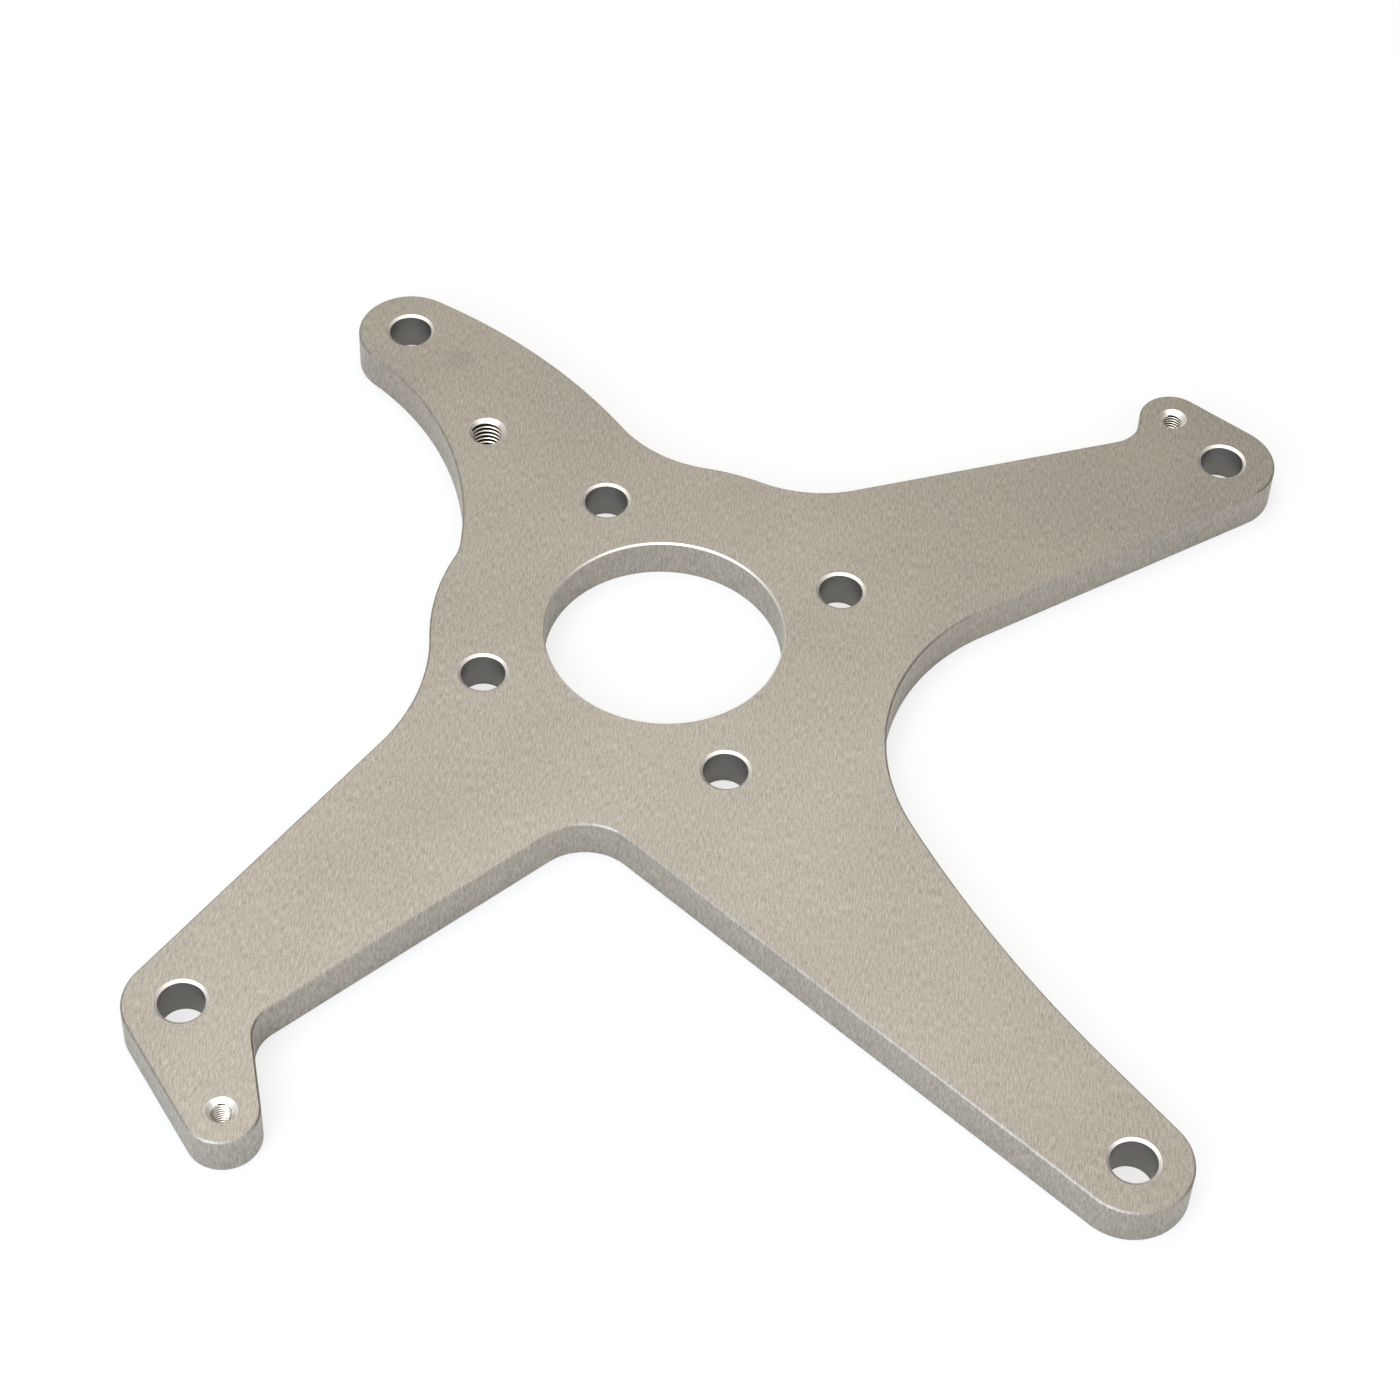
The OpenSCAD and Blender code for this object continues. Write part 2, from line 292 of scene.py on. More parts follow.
@dataclass(frozen=True)
class Outline:
    """The plate's outline, a chain of arcs with straight edges between those that don't touch.

    Sizes are in millimetres. A pair is an angle in degrees from +X, and a reach or a radius.
    """

    hub_r: float = 52.8
    arm_r: float = 12.5
    lobe_r: float = 7.95
    neck_r: float = 8.4
    # The arms' holes, seen from the hub's axis
    nw: tuple[float, float] = (149.2, 114.1)
    ne: tuple[float, float] = (50.0, 144.2)
    se: tuple[float, float] = (-29.45, 168.7)
    sw: tuple[float, float] = (253.1, 144.0)
    # The lobes' holes, seen from the arms' holes beside them
    ne_lobe: tuple[float, float] = (153.0, 17.5)
    sw_lobe: tuple[float, float] = (-42.2, 28.5)
    # Where the lobes' necks curve, seen from the lobes' holes
    ne_neck_angle: float = 205.8
    sw_neck_angle: float = 81.6
    sw_flank: float = 16.3
    # The hollows round the hub, and the nw arm's crowned back
    north_root: tuple[float, float] = (91.0, 31.2)
    back_root_r: float = 30.9
    back: tuple[float, float] = (86.7, 137.8)
    west_hollow_r: float = 74.1
    west_overlap: float = 1.8
    west_fillet_r: float = 11.6
    west_root: tuple[float, float] = (209.7, 47.7)
    south_crotch: tuple[float, float] = (282.9, 12.4)
    south_web: float = 5.4
    east_crotch: tuple[float, float] = (7.6, 48.6)
    east_web: float = 1.7
    se_hollow_r: float = 320.0
    se_straight: float = 21.0
    # Points of an arc stand about this many degrees or millimetres apart, in this many steps or more
    arc_step: float = 1.6
    arc_stride: float = 3.0
    arc_steps: int = 2
    # Points of a straight edge stand about this far apart
    edge_step: float = 6.0

    def arm_holes(self) -> list[np.ndarray]:
        """Gives the centres of the four arms' holes, clockwise from the north-west one."""
        return [reach * direction(angle) for angle, reach in (self.nw, self.ne, self.se, self.sw)]

    def lobe_holes(self) -> list[np.ndarray]:
        """Gives the centres of the two lobes' holes, the north-east one first."""
        _, ne, _, sw = self.arm_holes()
        return [
            ne + self.ne_lobe[1] * direction(self.ne_lobe[0]),
            sw + self.sw_lobe[1] * direction(self.sw_lobe[0]),
        ]

    def arcs(self) -> list[Arc]:
        """Works out every arc of the chain.

        Returns:
            The arcs, anticlockwise from the north-west arm's end.
        """
        axis = np.zeros(2)
        nw, ne, se, sw = self.arm_holes()
        ne_lobe, sw_lobe = self.lobe_holes()
        neck_reach = self.lobe_r + self.neck_r
        ne_neck = ne_lobe + neck_reach * direction(self.ne_neck_angle)
        sw_neck = sw_lobe + math.hypot(neck_reach, self.sw_flank) * direction(self.sw_neck_angle)
        west_hollow = meeting(
            axis, self.hub_r + self.west_hollow_r - self.west_overlap, nw, self.arm_r + self.west_hollow_r
        )
        west_fillet = meeting(
            west_hollow, self.west_hollow_r - self.west_fillet_r, axis, self.hub_r + self.west_fillet_r
        )
        back_angle, back_r = self.back
        back = nw - (back_r - self.arm_r) * direction(back_angle)
        back_root = meeting(back, back_r + self.back_root_r, axis, self.hub_r + self.back_root_r)
        west_root = (self.hub_r + self.west_root[1]) * direction(self.west_root[0])
        north_root = (self.hub_r + self.north_root[1]) * direction(self.north_root[0])
        south_reach = self.hub_r + self.south_web + self.south_crotch[1]
        south_crotch = south_reach * direction(self.south_crotch[0])
        east_reach = self.hub_r + self.east_web + self.east_crotch[1]
        east_crotch = east_reach * direction(self.east_crotch[0])
        se_hollow = meeting(
            east_crotch,
            self.se_hollow_r - self.east_crotch[1],
            se,
            math.hypot(self.arm_r + self.se_hollow_r, self.se_straight),
        )
        return [
            Arc(nw, self.arm_r),
            Arc(west_hollow, -self.west_hollow_r),
            Arc(west_fillet, -self.west_fillet_r),
            Arc(axis, self.hub_r),
            Arc(west_root, -self.west_root[1]),
            Arc(sw, self.arm_r),
            Arc(sw_lobe, self.lobe_r),
            Arc(sw_neck, -self.neck_r),
            Arc(south_crotch, -self.south_crotch[1]),
            Arc(se, self.arm_r),
            Arc(se_hollow, -self.se_hollow_r),
            Arc(east_crotch, -self.east_crotch[1]),
            Arc(ne, self.arm_r),
            Arc(ne_lobe, self.lobe_r),
            Arc(ne_neck, -self.neck_r),
            Arc(north_root, -self.north_root[1]),
            Arc(axis, self.hub_r),
            Arc(back_root, -self.back_root_r),
            Arc(back, back_r),
        ]

    def loop(self) -> tuple[np.ndarray, np.ndarray]:
        """Samples the outline.

        Returns:
            The points, anticlockwise, and the outward direction at each.
        """
        arcs = self.arcs()
        leans: list[float] = []
        for arc, following in zip(arcs, arcs[1:] + arcs[:1]):
            gap = float(np.linalg.norm(following.centre - arc.centre))
            lean = max(-1.0, min(1.0, (arc.radius - following.radius) / gap))
            leans.append(bearing(arc.centre, following.centre) - math.degrees(math.acos(lean)))
        points: list[np.ndarray] = []
        outward: list[np.ndarray] = []
        for k, arc in enumerate(arcs):
            start = leans[k - 1]
            swing = math.copysign((math.copysign(1.0, arc.radius) * (leans[k] - start)) % 360, arc.radius)
            along = abs(math.radians(swing) * arc.radius)
            steps = max(self.arc_steps, round(abs(swing) / self.arc_step), round(along / self.arc_stride))
            for step in range(steps + 1):
                facing = direction(start + swing * step / steps)
                place = arc.centre + arc.radius * facing
                if not points or np.linalg.norm(place - points[-1]) > SAME_POINT:
                    points.append(place)
                    outward.append(facing)
            following = arcs[(k + 1) % len(arcs)]
            end = following.centre + following.radius * direction(leans[k])
            length = float(np.linalg.norm(end - points[-1]))
            pieces = max(1, round(length / self.edge_step))
            here = points[-1]
            for piece in range(1, pieces):
                points.append(here + (end - here) * piece / pieces)
                outward.append(direction(leans[k]))
        if np.linalg.norm(points[0] - points[-1]) < SAME_POINT:
            points.pop()
            outward.pop()
        return np.array(points), np.array(outward)


@dataclass(frozen=True)
class PlainHole:
    """A drilled or bored hole with a bevel at both mouths.

    Sizes are in millimetres, and columns is how many points go round it.
    """

    centre: np.ndarray
    radius: float
    bevel_width: float
    bevel_height: float
    columns: int
    wall: Finish
    edge_softness: float = 0.05

    def build(self, skin: Skin, thickness: float) -> tuple[np.ndarray, np.ndarray]:
        """Adds the hole's surface to the skin.

        Args:
            skin: The skin to add to.
            thickness: The plate's thickness.

        Returns:
            The numbers of the points round its upper mouth, and round its lower one.
        """
        mouth = self.radius + self.bevel_width
        section = soften(
            [
                (mouth + LEAD, thickness),
                (mouth, thickness),
                (self.radius, thickness - self.bevel_height),
                (self.radius, self.bevel_height),
                (mouth, 0),
                (mouth + LEAD, 0),
            ],
            self.edge_softness,
            EDGE_STEPS,
            side=-1,
        )
        spokes = np.array([direction(360 * k / self.columns) for k in range(self.columns)])
        rows = skin.sweep(self.centre, spokes, section)
        lowest = self.bevel_height + self.edge_softness
        highest = thickness - self.bevel_height
        finishes = [self.wall if lowest < point.height <= highest else Finish.CUT for point in section[:-1]]
        skin.add_band(rows, finishes, inward=True)
        return rows[0], rows[-1]


@dataclass(frozen=True)
class TappedHole:
    """A hole with a right-hand thread and a right-angled countersink at both mouths.

    Sizes are in millimetres, and columns is how many points go round it.
    """

    centre: np.ndarray
    thread: Thread
    columns: int
    # The angle at which a crest starts at the lower face
    start: float
    # A metric thread's flanks lean this far off square, and its roots take up this share of the pitch
    flank_lean: float = 30.0
    root_share: float = 0.125
    crest_softness: float = 0.05
    mouth_softness: float = 0.05
    # Points of the thread nearer than this to a mouth's rounding become part of it
    mouth_gap: float = 0.02
    # Turns that the thread is drawn with beyond each face, before the faces cut it off
    spare_turns: int = 2
    # The rows of a turn drawn as bright tapped metal: the crest's upper edge and the flank over it. The
    # other rows are painted near-black as shade
    bright_rows: tuple[int, ...] = (1, 2)

    def section(self, thickness: float) -> list[SectionPoint]:
        """Works out the thread's section, which runs from below the plate to above it.

        Args:
            thickness: The plate's thickness.

        Returns:
            The section's points, the lower end of a crest first.
        """
        nominal, pitch, drill, _ = self.thread.value
        crest_r, root_r = drill / 2, nominal / 2
        flank = (root_r - crest_r) * math.tan(math.radians(self.flank_lean))
        root = pitch * self.root_share
        crest = pitch - root - 2 * flank
        turns = math.ceil(thickness / pitch) + self.spare_turns
        corners: list[tuple[float, float]] = []
        for turn in range(-self.spare_turns, turns + 1):
            foot = turn * pitch
            corners += [
                (crest_r, foot),
                (crest_r, foot + crest),
                (root_r, foot + crest + flank),
                (root_r, foot + crest + flank + root),
            ]
        return soften(corners, self.crest_softness, CREST_STEPS, side=1)[TURN_POINTS - 1 :]

    def build(self, skin: Skin, thickness: float) -> tuple[np.ndarray, np.ndarray]:
        """Adds the hole's surface to the skin.

        Args:
            skin: The skin to add to.
            thickness: The plate's thickness.

        Returns:
            The numbers of the points round its upper mouth, and round its lower one.
        """
        _, pitch, drill, sink = self.thread.value
        crest_r, sink_r = drill / 2, sink / 2
        angles = np.arange(self.columns) * 2 * math.pi / self.columns
        spokes = np.c_[np.cos(angles), np.sin(angles)]
        # A countersink's side stands at 45 degrees, so its facing has two parts of this size
        slope = math.sqrt(0.5)
        soft = self.mouth_softness
        rim = [
            SectionPoint(sink_r + soft, thickness, 0.0, 1.0),
            SectionPoint(sink_r + soft, 0.0, 0.0, -1.0),
            SectionPoint(sink_r - soft, thickness - soft, -slope, slope),
            SectionPoint(sink_r - soft, soft, -slope, -slope),
        ]
        top_mouth, under_mouth, top, under = skin.sweep(self.centre, spokes, rim)
        skin.add_band(np.array([top_mouth, top]), [Finish.CUT], inward=True)
        skin.add_band(np.array([under, under_mouth]), [Finish.CUT], inward=True)
        margin = soft + self.mouth_gap
        section = self.section(thickness)
        rows = np.zeros((len(section), self.columns), int)
        in_sink = np.zeros((len(section), self.columns), bool)
        for k, point in enumerate(section):
            heights = point.height + pitch * (angles / (2 * math.pi) - self.start / 360)
            upper = crest_r + heights - (thickness - (sink_r - crest_r))
            lower = crest_r + (sink_r - crest_r) - heights
            cone = np.maximum(upper, lower)
            sunk = cone > crest_r
            reach = np.where(sunk, np.minimum(cone, sink_r), point.reach)
            face_reach = np.where(sunk, -slope, point.face_reach)
            face_height = np.where(sunk, np.where(heights > thickness / 2, slope, -slope), point.face_height)
            places = np.c_[self.centre + reach[:, None] * spokes, heights]
            facings = np.c_[face_reach[:, None] * spokes, face_height]
            inside = (heights > margin) & (heights < thickness - margin)
            numbers = np.where(heights >= thickness / 2, top, under)
            numbers[inside] = skin.add_points(places[inside], facings[inside])
            rows[k] = numbers
            in_sink[k] = sunk | ~inside
        for k in range(len(section) - 1 - TURN_POINTS):
            for j in range(self.columns):
                n = (j + 1) % self.columns
                # The last column meets the first one, a turn higher
                ahead = TURN_POINTS if n == 0 else 0
                face = [rows[k, j], rows[k + 1, j], rows[k + 1 + ahead, n], rows[k + ahead, n]]
                # Rows other than the bright ones are painted near-black as shade
                finish = Finish.TAPPED if k % TURN_POINTS in self.bright_rows else Finish.PAINTED_SHADE
                if in_sink[k, j] and in_sink[k + 1, j]:
                    finish = Finish.CUT
                skin.add_face(face, finish)
        return top_mouth, under_mouth


def linear(code: str) -> tuple[float, float, float, float]:
    """Turns an sRGB hex colour into the linear colour that a shader takes.

    Args:
        code: The colour, such as "#AFA897".

    Returns:
        Red, green, blue and alpha.
    """
    values = [int(code[k : k + 2], 16) / 255 for k in (1, 3, 5)]
    red, green, blue = (v / 12.92 if v <= 0.04045 else ((v + 0.055) / 1.055) ** 2.4 for v in values)
    return red, green, blue, 1.0


def add_node(
    tree: bpy.types.NodeTree,
    kind: str,
    settings: dict[str, object] | None = None,
    values: dict[str | int, object] | None = None,
    links: dict[str | int, bpy.types.NodeSocket] | None = None,
) -> bpy.types.Node:
    """Adds one node with its settings and links.

    Args:
        tree: The node tree to add to.
        kind: The node's type name.
        settings: Properties of the node itself.
        values: Values of its inputs, by the input's name or number.
        links: Sockets that feed its inputs, by the input's name or number.

    Returns:
        The node.
    """
    node = tree.nodes.new(kind)
    for name, setting in (settings or {}).items():
        setattr(node, name, setting)
    for name, value in (values or {}).items():
        node.inputs[name].default_value = value
    for name, socket in (links or {}).items():
        tree.links.new(socket, node.inputs[name])
    return node


def new_material(name: str) -> tuple[bpy.types.Material, bpy.types.NodeTree, bpy.types.Node]:
    """Starts a material with no nodes but its output.

    Args:
        name: The material's name.

    Returns:
        The material, its node tree and its output node.
    """
    material = bpy.data.materials.new(name)
    material.use_nodes = True
    tree = material.node_tree
    tree.nodes.clear()
    return material, tree, add_node(tree, "ShaderNodeOutputMaterial")


@dataclass(frozen=True)
class Smudge:
    """A dull mark that handling left on the upper face. Its place and size are in millimetres."""

    centre: tuple[float, float, float]
    radius: float
    # How much of the face's brightness the mark leaves at its middle
    kept: float
    # The share of its radius over which it is that dark, before it fades
    core: float = 0.3


@dataclass(frozen=True)
class BlastedAluminium:
    """Bead-blasted aluminium plate: fine matt pits over the faint streaks of the rolled sheet."""

    colour: str = "#BBB4A8"
    streak_colour: str = "#8B867D"
    # A blasted face scatters light evenly, so it shows no sharp reflection
    roughness: float = 0.52
    # The pits are about 0.1 mm across and wouldn't show, so they are drawn at 0.4 mm
    pit_mm: float = 0.4
    pit_depth_mm: float = 0.035
    # Streaks of the rolled sheet, which lie across the plate at this angle
    streak_mm: float = 0.35
    streak_length_mm: float = 2.0
    streak_depth_mm: float = 2.0
    streak_angle: float = 111.0
    streak_share: float = 0.65
    # Broad patches that handling and blasting leave
    patch_mm: float = 38.0
    patch_share: float = 0.15
    # How far the mixed pattern strays from its middle before it is all one colour or the other
    grain_spread: float = 0.17
    smudges: tuple[Smudge, ...] = (
        Smudge((-82.6, 55.4, 10.0), 5.0, 0.92),
        Smudge((-69.0, 42.2, 10.0), 0.45, 0.60),
    )

    def make(self) -> bpy.types.Material:
        """Builds the material.

        Returns:
            The material.
        """
        material, tree, output = new_material("bead_blasted_aluminium")
        place = add_node(tree, "ShaderNodeTexCoord").outputs["Object"]
        streak = (self.streak_length_mm, self.streak_mm, self.streak_depth_mm)
        turned = add_node(
            tree,
            "ShaderNodeMapping",
            {"vector_type": "POINT"},
            {"Rotation": (0, 0, -math.radians(self.streak_angle))},
            {"Vector": place},
        ).outputs[0]
        drawn = add_node(
            tree,
            "ShaderNodeMapping",
            {"vector_type": "POINT"},
            {"Scale": [1 / (size * MM) for size in streak]},
            {"Vector": turned},
        ).outputs[0]
        streaks = add_node(
            tree,
            "ShaderNodeTexNoise",
            None,
            {"Scale": 1.0, "Detail": 3.0, "Roughness": 0.6},
            {"Vector": drawn},
        ).outputs[0]
        pits = add_node(
            tree,
            "ShaderNodeTexNoise",
            None,
            {"Scale": 1 / (self.pit_mm * MM), "Detail": 2.0, "Roughness": 0.6},
            {"Vector": place},
        ).outputs[0]
        patches = add_node(
            tree,
            "ShaderNodeTexNoise",
            None,
            {"Scale": 1 / (self.patch_mm * MM), "Detail": 3.0, "Roughness": 0.5},
            {"Vector": place},
        ).outputs[0]
        shade = add_node(
            tree,
            "ShaderNodeMath",
            {"operation": "MULTIPLY"},
            {1: self.patch_share},
            {0: patches},
        )
        for pattern, share in ((streaks, self.streak_share), (pits, 1 - self.streak_share)):
            shade = add_node(
                tree,
                "ShaderNodeMath",
                {"operation": "MULTIPLY_ADD"},
                {1: share},
                {0: pattern, 2: shade.outputs[0]},
            )
        # A noise has its middle at a half, and the shares of the three add up to this much
        middle = (1 + self.patch_share) / 2
        factor = add_node(
            tree,
            "ShaderNodeMapRange",
            None,
            {"From Min": middle - self.grain_spread, "From Max": middle + self.grain_spread},
            {"Value": shade.outputs[0]},
        )
        colour = add_node(
            tree,
            "ShaderNodeMix",
            {"data_type": "RGBA"},
            {"A": linear(self.streak_colour), "B": linear(self.colour)},
            {"Factor": factor.outputs[0]},
        ).outputs["Result"]
        for smudge in self.smudges:
            away = add_node(
                tree,
                "ShaderNodeVectorMath",
                {"operation": "DISTANCE"},
                {1: [c * MM for c in smudge.centre]},
                {0: place},
            )
            kept = add_node(
                tree,
                "ShaderNodeMapRange",
                {"interpolation_type": "SMOOTHSTEP"},
                {
                    "From Min": smudge.core * smudge.radius * MM,
                    "From Max": smudge.radius * MM,
                    "To Min": smudge.kept,
                },
                {"Value": away.outputs["Value"]},
            )
            colour = add_node(
                tree,
                "ShaderNodeVectorMath",
                {"operation": "SCALE"},
                None,
                {0: colour, "Scale": kept.outputs[0]},
            ).outputs[0]
        bump = add_node(
            tree,
            "ShaderNodeBump",
            None,
            {"Strength": 1.0, "Distance": self.pit_depth_mm * MM},
            {"Height": pits},
        )
        surface = add_node(
            tree,
            "ShaderNodeBsdfPrincipled",
            None,
            {"Metallic": 1.0, "Roughness": self.roughness},
            {"Base Color": colour, "Normal": bump.outputs[0]},
        )
        tree.links.new(surface.outputs[0], output.inputs["Surface"])
        return material


@dataclass(frozen=True)
class CutAluminium:
    """Aluminium that a tool has cut. Its fine marks round the hole break up what it reflects."""

    name: str
    colour: str
    roughness: float
    # The tool leaves a ring each time it goes round, this far apart, which changes over this length
    mark_mm: float
    mark_depth_mm: float
    mark_length_mm: float = 6.0

    def make(self) -> bpy.types.Material:
        """Builds the material.

        Returns:
            The material.
        """
        material, tree, output = new_material(self.name)
        place = add_node(tree, "ShaderNodeTexCoord").outputs["Object"]
        ring = (self.mark_length_mm, self.mark_length_mm, self.mark_mm)
        flat = add_node(
            tree,
            "ShaderNodeMapping",
            {"vector_type": "POINT"},
            {"Scale": [1 / (size * MM) for size in ring]},
            {"Vector": place},
        ).outputs[0]
        marks = add_node(
            tree,
            "ShaderNodeTexNoise",
            None,
            {"Scale": 1.0, "Detail": 2.0, "Roughness": 0.55},
            {"Vector": flat},
        ).outputs[0]
        bump = add_node(
            tree,
            "ShaderNodeBump",
            None,
            {"Strength": 1.0, "Distance": self.mark_depth_mm * MM},
            {"Height": marks},
        )
        surface = add_node(
            tree,
            "ShaderNodeBsdfPrincipled",
            None,
            {"Base Color": linear(self.colour), "Metallic": 1.0, "Roughness": self.roughness},
            {"Normal": bump.outputs[0]},
        )
        tree.links.new(surface.outputs[0], output.inputs["Surface"])
        return material


@dataclass(frozen=True)
class Plate:
    """The whole bracket: outline, holes, threads and finishes. Sizes are in millimetres."""

    outline: Outline = field(default_factory=Outline)
    thickness: float = 10.0
    edge_bevel: float = 0.4
    edge_softness: float = 0.22
    bore_r: float = 27.0
    bore_bevel: float = 0.4
    motor_pcd: float = 85.0
    motor_bolts: int = 4
    motor_bolt_angle: float = 45.0
    bolt_hole_r: float = 5.0
    hole_bevel_width: float = 0.7
    hole_bevel_height: float = 0.4
    large_tap: tuple[float, float] = (150.5, 75.0)
    # The angle at which both sizes of thread start at the lower face
    tap_start: float = 128.0
    # Points round the bore, a bolt hole or the large tapped hole, and a lobe's tapped hole
    bore_columns: int = 288
    hole_columns: int = 96
    lobe_columns: int = 72

    def holes(self) -> list[PlainHole | TappedHole]:
        """Lists the plate's holes.

        Returns:
            The spigot bore, the motor's bolt holes, the arms' holes and the tapped holes.
        """
        motor = [
            self.motor_pcd / 2 * direction(self.motor_bolt_angle + 360 * k / self.motor_bolts)
            for k in range(self.motor_bolts)
        ]
        bore = PlainHole(
            np.zeros(2), self.bore_r, self.bore_bevel, self.bore_bevel, self.bore_columns, Finish.BLASTED
        )
        holes: list[PlainHole | TappedHole] = [bore]
        for centre in motor + self.outline.arm_holes():
            holes.append(
                PlainHole(
                    centre,
                    self.bolt_hole_r,
                    self.hole_bevel_width,
                    self.hole_bevel_height,
                    self.hole_columns,
                    Finish.DRILLED,
                )
            )
        angle, reach = self.large_tap
        holes.append(TappedHole(reach * direction(angle), Thread.M8, self.hole_columns, self.tap_start))
        for centre in self.outline.lobe_holes():
            holes.append(TappedHole(centre, Thread.M5, self.lobe_columns, self.tap_start))
        return holes

    def build_edge(self, skin: Skin) -> tuple[np.ndarray, np.ndarray]:
        """Adds the wall round the outline, with its softened bevels.

        Args:
            skin: The skin to add to.

        Returns:
            The numbers of the points round the upper face, and round the lower one.
        """
        points, outward = self.outline.loop()
        inset, top = self.edge_bevel, self.thickness
        section = soften(
            [
                (-inset - LEAD, top),
                (-inset, top),
                (0, top - inset),
                (0, inset),
                (-inset, 0),
                (-inset - LEAD, 0),
            ],
            self.edge_softness,
            EDGE_STEPS,
            side=1,
        )
        rows = skin.sweep(points, outward, section)
        skin.add_band(rows, [Finish.BLASTED] * (len(rows) - 1), inward=False)
        return rows[0], rows[-1]

    def build_faces(self, skin: Skin, loops: list[tuple[np.ndarray, np.ndarray]]) -> None:
        """Closes the two flat faces between the outline and the holes.

        Args:
            skin: The skin to add to.
            loops: For the outline and each hole, its upper and its lower loop.
        """
        points = np.concatenate(skin.points)
        upper = np.concatenate([loop[0] for loop in loops])
        under = np.concatenate([loop[1] for loop in loops])
        edges: list[tuple[int, int]] = []
        owners: list[int] = []
        for owner, (loop, _) in enumerate(loops):
            start = len(owners)
            edges += [(start + k, start + (k + 1) % len(loop)) for k in range(len(loop))]
            owners += [owner] * len(loop)
        places = [Vector(points[number][:2].tolist()) for number in upper]
        _, _, triangles, origins, _, _ = delaunay_2d_cdt(places, edges, [], TRIANGLES_INSIDE, WELD)
        for triangle in triangles:
            corners = [origins[k][0] for k in triangle]
            if owners[corners[0]] and len({owners[k] for k in corners}) == 1:
                continue
            a, b, c = (points[upper[k]][:2] for k in corners)
            ahead = (b[0] - a[0]) * (c[1] - a[1]) - (b[1] - a[1]) * (c[0] - a[0]) > 0
            corners = corners if ahead else corners[::-1]
            skin.add_face([int(upper[k]) for k in corners], Finish.BLASTED)
            skin.add_face([int(under[k]) for k in corners[::-1]], Finish.BLASTED)

    def dress(self) -> list[bpy.types.Material]:
        """Makes the plate's finishes.

        Returns:
            The materials, in the order of their numbers.
        """
        return [
            BlastedAluminium().make(),
            # Bevels and countersinks are cut after blasting: bare metal, a pale ring round each hole
            CutAluminium(
                "countersunk_aluminium", "#ECE8E0", roughness=0.50, mark_mm=0.25, mark_depth_mm=0.004
            ).make(),
            # A drilled wall keeps fine drill marks, and its even grey, darker than the blasted faces, is
            # painted shade of the narrow hole
            CutAluminium(
                "drilled_wall_and_painted_shade", "#9A9896", roughness=0.45, mark_mm=0.30, mark_depth_mm=0.010
            ).make(),
            # A tap leaves its flanks almost polished, so each turn gives one bright line
            CutAluminium(
                "tapped_aluminium", "#F6F3EC", roughness=0.16, mark_mm=0.20, mark_depth_mm=0.001
            ).make(),
            # The rest of a thread is painted near-black as shade, a dark line between the bright ones
            CutAluminium(
                "thread_painted_shade", "#181716", roughness=0.40, mark_mm=0.30, mark_depth_mm=0.004
            ).make(),
        ]

    def build(self) -> bpy.types.Object:
        """Builds the plate.

        Returns:
            The finished piece, which stands for the node of the same shape.
        """
        skin = Skin()
        loops = [self.build_edge(skin)]
        loops += [hole.build(skin, self.thickness) for hole in self.holes()]
        self.build_faces(skin, loops)
        piece = skin.make_object("bracket_plate", self.dress())
        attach(piece, "root")
        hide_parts("bracket")
        return piece


def toward_sky(azimuth: float, elevation: float) -> Vector:
    """Gives the unit vector toward a place in the sky.

    Args:
        azimuth: Its angle in the plate's plane, counted from +X, in degrees.
        elevation: Its height over that plane, in degrees.

    Returns:
        The vector.
    """
    flat = direction(azimuth) * math.cos(math.radians(elevation))
    return Vector((float(flat[0]), float(flat[1]), math.sin(math.radians(elevation))))


@dataclass(frozen=True)
class Softbox:
    """A square soft lamp that looks at the plate.

    Its angles are in degrees, its distance and size in metres and its power in watts.
    """

    name: str
    azimuth: float
    elevation: float
    power: float
    colour: str
    distance: float = 1.0
    size: float = 0.6

    def place(self) -> bpy.types.Object:
        """Puts the lamp up.

        Returns:
            The lamp.
        """
        away = toward_sky(self.azimuth, self.elevation)
        lamp = bpy.data.lights.new(self.name, "AREA")
        lamp.shape = "SQUARE"
        lamp.size = self.size
        lamp.energy = self.power
        lamp.color = linear(self.colour)[:3]
        holder = add_object(self.name, lamp)
        holder.location = away * self.distance
        holder.rotation_euler = away.to_track_quat("Z", "Y").to_euler()
        return holder


@dataclass(frozen=True)
class TentPanel:
    """One lit panel of the light tent, brightest at its middle. Its angles are in degrees."""

    azimuth: float
    elevation: float
    # How fast its light falls off from the middle, as a power of the cosine
    falloff: float
    colour: str
    strength: float


